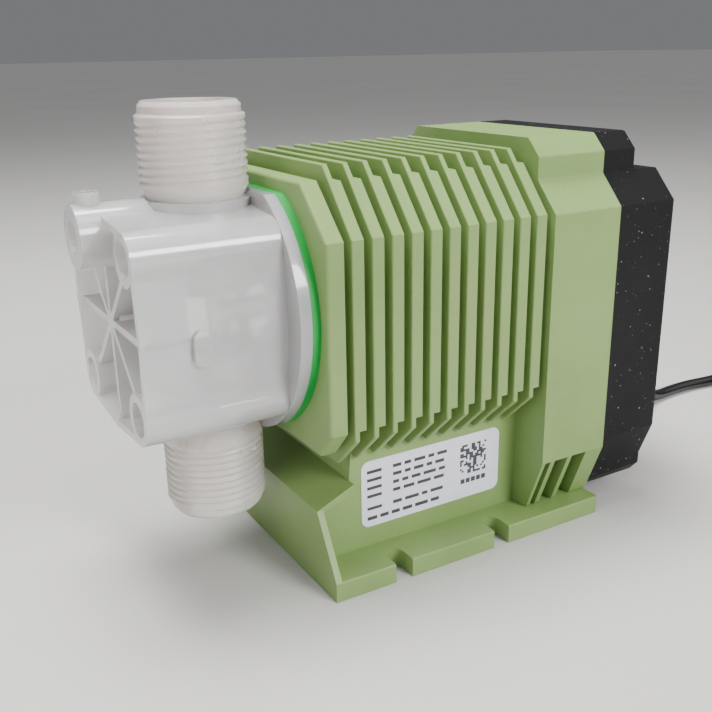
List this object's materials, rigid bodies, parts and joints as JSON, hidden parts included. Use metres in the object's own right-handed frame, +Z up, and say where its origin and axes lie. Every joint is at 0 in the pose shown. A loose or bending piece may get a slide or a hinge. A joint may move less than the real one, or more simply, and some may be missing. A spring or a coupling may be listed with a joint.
{
  "type": "diaphragm dosing pump",
  "caption": "Solenoid-driven diaphragm dosing pump with a finned drive housing, slotted foot, translucent head with vertical threaded ports, and a rear control cover.",
  "frame": {"origin": "centre of the four foot slots, on the underside of the foot", "axes": "+X rearwards from the liquid end to the control cover, +Y across, +Z up along the discharge port"},
  "size_m": [0.3924, 0.1219, 0.1548],
  "materials": {
    "green_housing": "satin, fine mould texture",
    "black_housing": "textured matt",
    "natural_polypropylene": "milky translucent",
    "port_plastic": "milky, slightly warm",
    "green_seal": "smooth",
    "black_rubber": "matt",
    "ptfe": "waxy white",
    "ceramic": "polished",
    "label": "satin film",
    "steel": "machined",
    "screw_steel": "bright",
    "copper_wire": "enamelled",
    "bronze": "turned",
    "bobbin_plastic": "satin",
    "circuit_board": "solder mask",
    "component_black": "moulded",
    "component_blue": "sleeve",
    "terminal_green": "satin",
    "panel_film": "fine texture",
    "window": "tinted",
    "lamp": "clear",
    "key_plastic": "satin",
    "knob_plastic": "satin",
    "cord_pvc": "glossy",
    "nickel": "plated"
  },
  "bodies": {
    "housing": {"backing_plate": "ptfe", "bobbin": "bobbin_plastic", "coil_winding": "copper_wire", "control_board": "circuit_board", "control_panel": "panel_film", "cord_coil": "cord_pvc", "cord_tail": "cord_pvc", "cord_tie": "knob_plastic", "cover_gasket": "black_rubber", "cover_screws": "screw_steel", "diaphragm_membrane": "black_rubber", "diaphragm_ring": "green_seal", "discharge_valve_body": "port_plastic", "display_module": "component_black", "display_window": "window", "dosing_head": "natural_polypropylene", "drive_housing": "green_housing", "driver_board": "circuit_board", "front_bush": "bronze", "gland_body": "knob_plastic", "gland_locknut": "knob_plastic", "gland_nut": "knob_plastic", "head_screws": "screw_steel", "plug": "cord_pvc", "plug_pins": "nickel", "pole_piece": "steel", "power_cord": "cord_pvc", "rating_label": "label", "rear_bush": "bronze", "rear_cover": "black_housing", "return_spring": "screw_steel", "signal_sockets": "nickel", "socket_caps": "knob_plastic", "solenoid_yoke": "steel", "spindle_nut": "bronze", "status_lamps": "lamp", "stop_bumper": "black_rubber", "strain_relief": "black_rubber", "stroke_bridge": "steel", "suction_valve_body": "port_plastic", "supply_capacitors": "component_blue", "supply_transformer": "component_black", "terminal_block": "terminal_green", "valve_cages": "natural_polypropylene", "valve_seals": "black_rubber", "valve_seats": "ptfe", "yoke_plate": "steel"},
    "plunger": {"armature": "steel", "push_rod": "steel", "diaphragm_core": "ptfe"},
    "adjuster": {"stroke_knob": "knob_plastic", "knob_clip": "screw_steel"},
    "spindle": {"stroke_spindle": "steel"},
    "discharge_ball": {"discharge_ball": "ceramic"},
    "suction_ball": {"suction_ball": "ceramic"},
    "bleed_screw": {"bleed_screw": "port_plastic"},
    "key_1": {"key_1": "key_plastic"},
    "key_2": {"key_2": "key_plastic"},
    "key_3": {"key_3": "key_plastic"},
    "key_4": {"key_4": "key_plastic"}
  },
  "joints": [
    {"name": "pump_stroke", "type": "slide", "parent": "housing", "child": "plunger", "axis": [-1, 0, 0], "range_m": [0, 0.00125], "stiffness_N_per_m": 3000, "springref_m": -0.004, "deforming": ["return_spring", "diaphragm_membrane"]},
    {"name": "stroke_turn", "type": "hinge", "parent": "housing", "child": "adjuster", "pos_m": [0.1025, 0, 0.0908], "axis": [1, 0, 0], "range_deg": [0, 270]},
    {"name": "spindle_feed", "type": "slide", "parent": "adjuster", "child": "spindle", "axis": [-1, 0, 0], "range_m": [0, 0.00126]},
    {"name": "discharge_lift", "type": "slide", "parent": "housing", "child": "discharge_ball", "axis": [0, 0, 1], "range_m": [0, 0.002]},
    {"name": "suction_lift", "type": "slide", "parent": "housing", "child": "suction_ball", "axis": [0, 0, 1], "range_m": [0, 0.002]},
    {"name": "bleed_turn", "type": "hinge", "parent": "housing", "child": "bleed_screw", "pos_m": [-0.0965, 0, 0.1176], "axis": [-1, 0, 0], "range_deg": [0, 360]},
    {"name": "key_1_press", "type": "slide", "parent": "housing", "child": "key_1", "axis": [-1, 0, 0], "range_m": [0, 0.0008], "stiffness_N_per_m": 400},
    {"name": "key_2_press", "type": "slide", "parent": "housing", "child": "key_2", "axis": [-1, 0, 0], "range_m": [0, 0.0008], "stiffness_N_per_m": 400},
    {"name": "key_3_press", "type": "slide", "parent": "housing", "child": "key_3", "axis": [-1, 0, 0], "range_m": [0, 0.0008], "stiffness_N_per_m": 400},
    {"name": "key_4_press", "type": "slide", "parent": "housing", "child": "key_4", "axis": [-1, 0, 0], "range_m": [0, 0.0008], "stiffness_N_per_m": 400}
  ],
  "couplings": [
    {"joint": "spindle_feed", "follows": "stroke_turn", "m_per_rad": 0.00026526}
  ]
}
